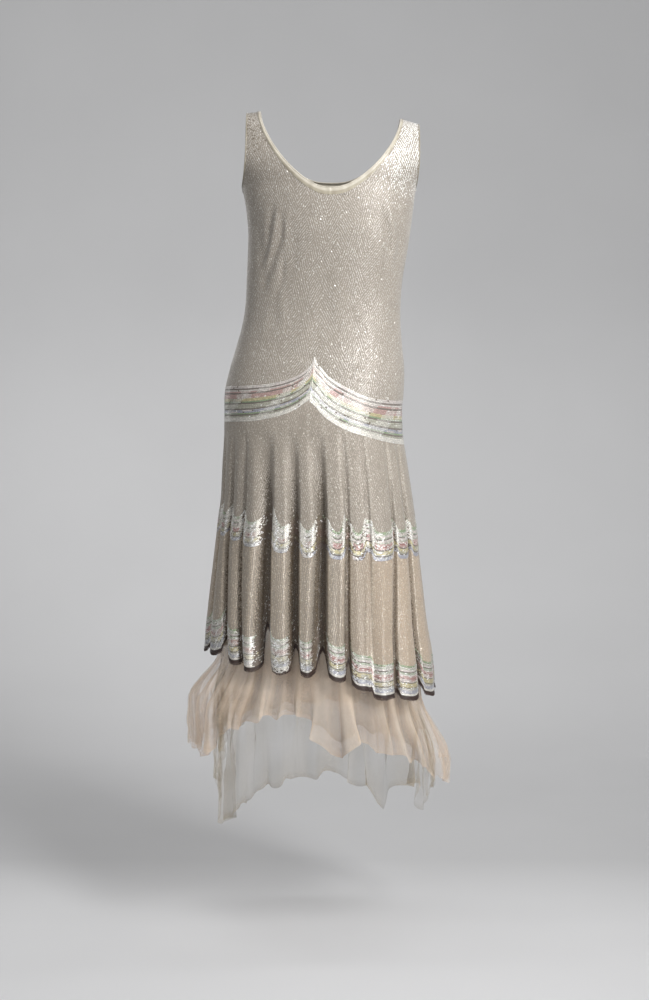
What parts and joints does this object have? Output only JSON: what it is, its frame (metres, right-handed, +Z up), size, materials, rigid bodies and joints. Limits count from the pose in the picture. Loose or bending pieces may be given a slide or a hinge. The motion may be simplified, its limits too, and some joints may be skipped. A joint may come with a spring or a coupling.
{
  "type": "flapper dress",
  "caption": "Sleeveless beaded net evening dress, worn shape: scooped neck, striped hip band rising to a point, fluted skirt with scalloped striped bands, ragged tulle underskirt.",
  "frame": {"origin": "midway between the two places where the straps rest on the wearer's shoulders", "axes": "+X towards the wearer's left side, +Y out of the back of the dress, -Y out of its front, +Z up"},
  "size_m": [0.5066, 0.3531, 1.3111],
  "materials": {
    "beaded_net": "close rows of silver-lined and clear bugle beads on nude net",
    "bead_stripes": "glossy rows of mint, white, rose, yellow and lavender beads",
    "ivory_satin": "folded satin binding",
    "peach_tulle": "fine soft net, sheer",
    "sheer_tulle": "fine soft net, very sheer"
  },
  "bodies": {
    "root": {"bodice_back": "beaded_net", "bodice_front": "beaded_net", "neck_binding_back": "ivory_satin", "neck_binding_front": "ivory_satin", "hip_band_back_left": "bead_stripes", "hip_band_back_right": "bead_stripes", "hip_band_front_right": "bead_stripes", "hip_band_front_left": "bead_stripes", "upper_skirt_back": "beaded_net", "upper_skirt_front": "beaded_net", "mid_band_back": "bead_stripes", "mid_band_front": "bead_stripes", "lower_skirt_back": "beaded_net", "lower_skirt_front": "beaded_net", "hem_band_back": "bead_stripes", "hem_band_front": "bead_stripes", "tulle_short_back": "peach_tulle", "tulle_short_front": "peach_tulle", "tulle_long_back": "sheer_tulle", "tulle_long_front": "sheer_tulle"}
  },
  "joints": []
}
